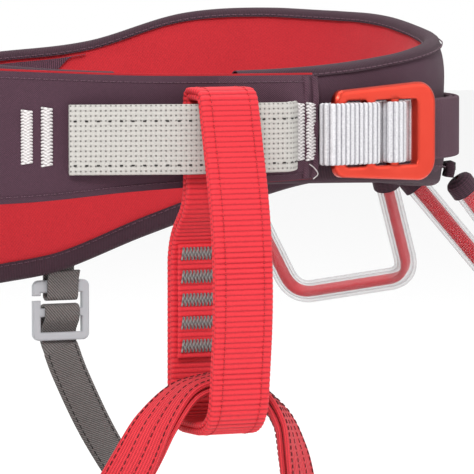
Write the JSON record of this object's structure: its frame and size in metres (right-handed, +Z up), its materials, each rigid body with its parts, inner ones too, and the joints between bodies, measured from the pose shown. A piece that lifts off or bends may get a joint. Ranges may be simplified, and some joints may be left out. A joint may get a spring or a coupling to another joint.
{
  "type": "sit harness",
  "caption": "Padded climbing sit harness with a slide buckle, belay loop, leg bridge strap, elastic rear risers, leg loops and clear tube gear loops.",
  "frame": {"origin": "centre of the waist opening, level with the middle of the tie-in strap", "axes": "+X the wearer's left, -Y the front, +Z up"},
  "size_m": [0.3834, 0.2876, 0.3022],
  "materials": {
    "anodised": "orange-red anodised",
    "clear_tube": "clear flexible tube",
    "elastic": "dark grey elastic",
    "foam": "closed-cell foam",
    "grey_thread": "bartack thread",
    "grey_webbing": "light grey strap",
    "hook_plastic": "moulded light grey",
    "lining_fabric": "red lining fabric",
    "plum_binding": "folded edge binding",
    "red_tape": "red tape",
    "red_webbing": "ribbed red webbing",
    "shell_fabric": "plum woven fabric",
    "steel": "brushed",
    "white_webbing": "white load webbing"
  },
  "bodies": {
    "waist": {"waist_shell": "shell_fabric", "waist_foam": "foam", "waist_lining": "lining_fabric", "lumbar_patch": "shell_fabric", "waist_binding_top": "plum_binding", "waist_binding_bottom": "plum_binding", "load_webbing": "white_webbing", "front_band_sleeve": "shell_fabric", "front_band_lining": "lining_fabric", "front_band_webbing": "white_webbing", "front_bartacks": "grey_thread", "tie_in_strap": "grey_webbing", "adjuster_webbing": "white_webbing", "gear_loop_tabs": "shell_fabric", "riser_anchors": "elastic", "haul_loop_patch": "shell_fabric"},
    "waist_buckle": {"waist_buckle_frame": "anodised", "waist_buckle_bar": "steel", "buckle_anchor_webbing": "white_webbing", "adjuster_bight": "white_webbing"},
    "tail_keeper": {"tail_keeper": "elastic"},
    "belay_loop": {"belay_loop_webbing": "red_webbing", "belay_loop_overlap": "red_webbing", "belay_loop_bartacks": "grey_thread"},
    "leg_bridge": {"leg_bridge_strap": "red_webbing", "left_hook_buckle": "hook_plastic", "right_hook_buckle": "hook_plastic", "left_riser": "elastic", "right_riser": "elastic"},
    "haul_loop": {"haul_loop": "red_webbing"},
    "left_leg": {"left_leg_shell": "shell_fabric", "left_leg_foam": "foam", "left_leg_lining": "lining_fabric", "left_leg_binding": "plum_binding", "left_leg_webbing": "red_webbing", "left_leg_keeper": "elastic"},
    "left_leg_buckle": {"left_leg_buckle_frame": "anodised", "left_leg_buckle_bar": "steel", "left_leg_buckle_webbing": "red_webbing"},
    "gear_loop_front_left": {"gear_tube_front_left": "clear_tube", "gear_tape_front_left": "red_tape"},
    "gear_loop_rear_left": {"gear_tube_rear_left": "clear_tube", "gear_tape_rear_left": "red_tape"},
    "right_leg": {"right_leg_shell": "shell_fabric", "right_leg_foam": "foam", "right_leg_lining": "lining_fabric", "right_leg_binding": "plum_binding", "right_leg_webbing": "red_webbing", "right_leg_keeper": "elastic"},
    "right_leg_buckle": {"right_leg_buckle_frame": "anodised", "right_leg_buckle_bar": "steel", "right_leg_buckle_webbing": "red_webbing"},
    "gear_loop_front_right": {"gear_tube_front_right": "clear_tube", "gear_tape_front_right": "red_tape"},
    "gear_loop_rear_right": {"gear_tube_rear_right": "clear_tube", "gear_tape_rear_right": "red_tape"}
  },
  "joints": [
    {"name": "waist_buckle_tilt", "type": "hinge", "parent": "waist", "child": "waist_buckle", "pos_m": [0.05044, -0.12053, 0], "axis": [0, 0, -1], "range_deg": [0, 20]},
    {"name": "tail_keeper_slide", "type": "hinge", "parent": "waist", "child": "tail_keeper", "pos_m": [0.00682, -0.02299, 0], "axis": [0, 0, 1], "range_deg": [-4, 3]},
    {"name": "belay_loop_swing", "type": "hinge", "parent": "waist", "child": "belay_loop", "pos_m": [0, -0.1285, 0.012], "axis": [1, 0, 0], "range_deg": [-3, 0]},
    {"name": "leg_lift", "type": "hinge", "parent": "waist", "child": "leg_bridge", "pos_m": [0, 0.1131, -0.0778], "axis": [-1, 0, 0], "range_deg": [0, 10]},
    {"name": "left_leg_spread", "type": "hinge", "parent": "leg_bridge", "child": "left_leg", "pos_m": [0.072, 0.084, -0.182], "axis": [-0.1104, -0.9933, 0.0331], "range_deg": [0, 25]},
    {"name": "right_leg_spread", "type": "hinge", "parent": "leg_bridge", "child": "right_leg", "pos_m": [-0.072, 0.084, -0.182], "axis": [-0.1104, 0.9933, -0.0331], "range_deg": [0, 25]},
    {"name": "left_leg_buckle_tilt", "type": "hinge", "parent": "left_leg", "child": "left_leg_buckle", "pos_m": [0.12753, -0.10964, -0.204], "axis": [0, 0, -1], "range_deg": [0, 15]},
    {"name": "right_leg_buckle_tilt", "type": "hinge", "parent": "right_leg", "child": "right_leg_buckle", "pos_m": [-0.12753, -0.10964, -0.204], "axis": [0, 0, 1], "range_deg": [0, 15]},
    {"name": "gear_loop_front_left_swing", "type": "hinge", "parent": "waist", "child": "gear_loop_front_left", "pos_m": [0.14386, -0.06041, -0.024], "axis": [-0.0818, -0.9965, 0.0182], "range_deg": [0, 50]},
    {"name": "gear_loop_front_right_swing", "type": "hinge", "parent": "waist", "child": "gear_loop_front_right", "pos_m": [-0.14386, -0.06041, -0.024], "axis": [-0.0818, 0.9965, -0.0182], "range_deg": [0, 50]},
    {"name": "gear_loop_rear_left_swing", "type": "hinge", "parent": "waist", "child": "gear_loop_rear_left", "pos_m": [0.14518, 0.01151, -0.025], "axis": [0.4792, -0.8607, 0.1721], "range_deg": [0, 50]},
    {"name": "gear_loop_rear_right_swing", "type": "hinge", "parent": "waist", "child": "gear_loop_rear_right", "pos_m": [-0.14518, 0.01151, -0.025], "axis": [0.4792, 0.8607, -0.1721], "range_deg": [0, 50]},
    {"name": "haul_loop_swing", "type": "hinge", "parent": "waist", "child": "haul_loop", "pos_m": [0, 0.12119, -0.0149], "axis": [1, 0, 0], "range_deg": [0, 70]}
  ]
}
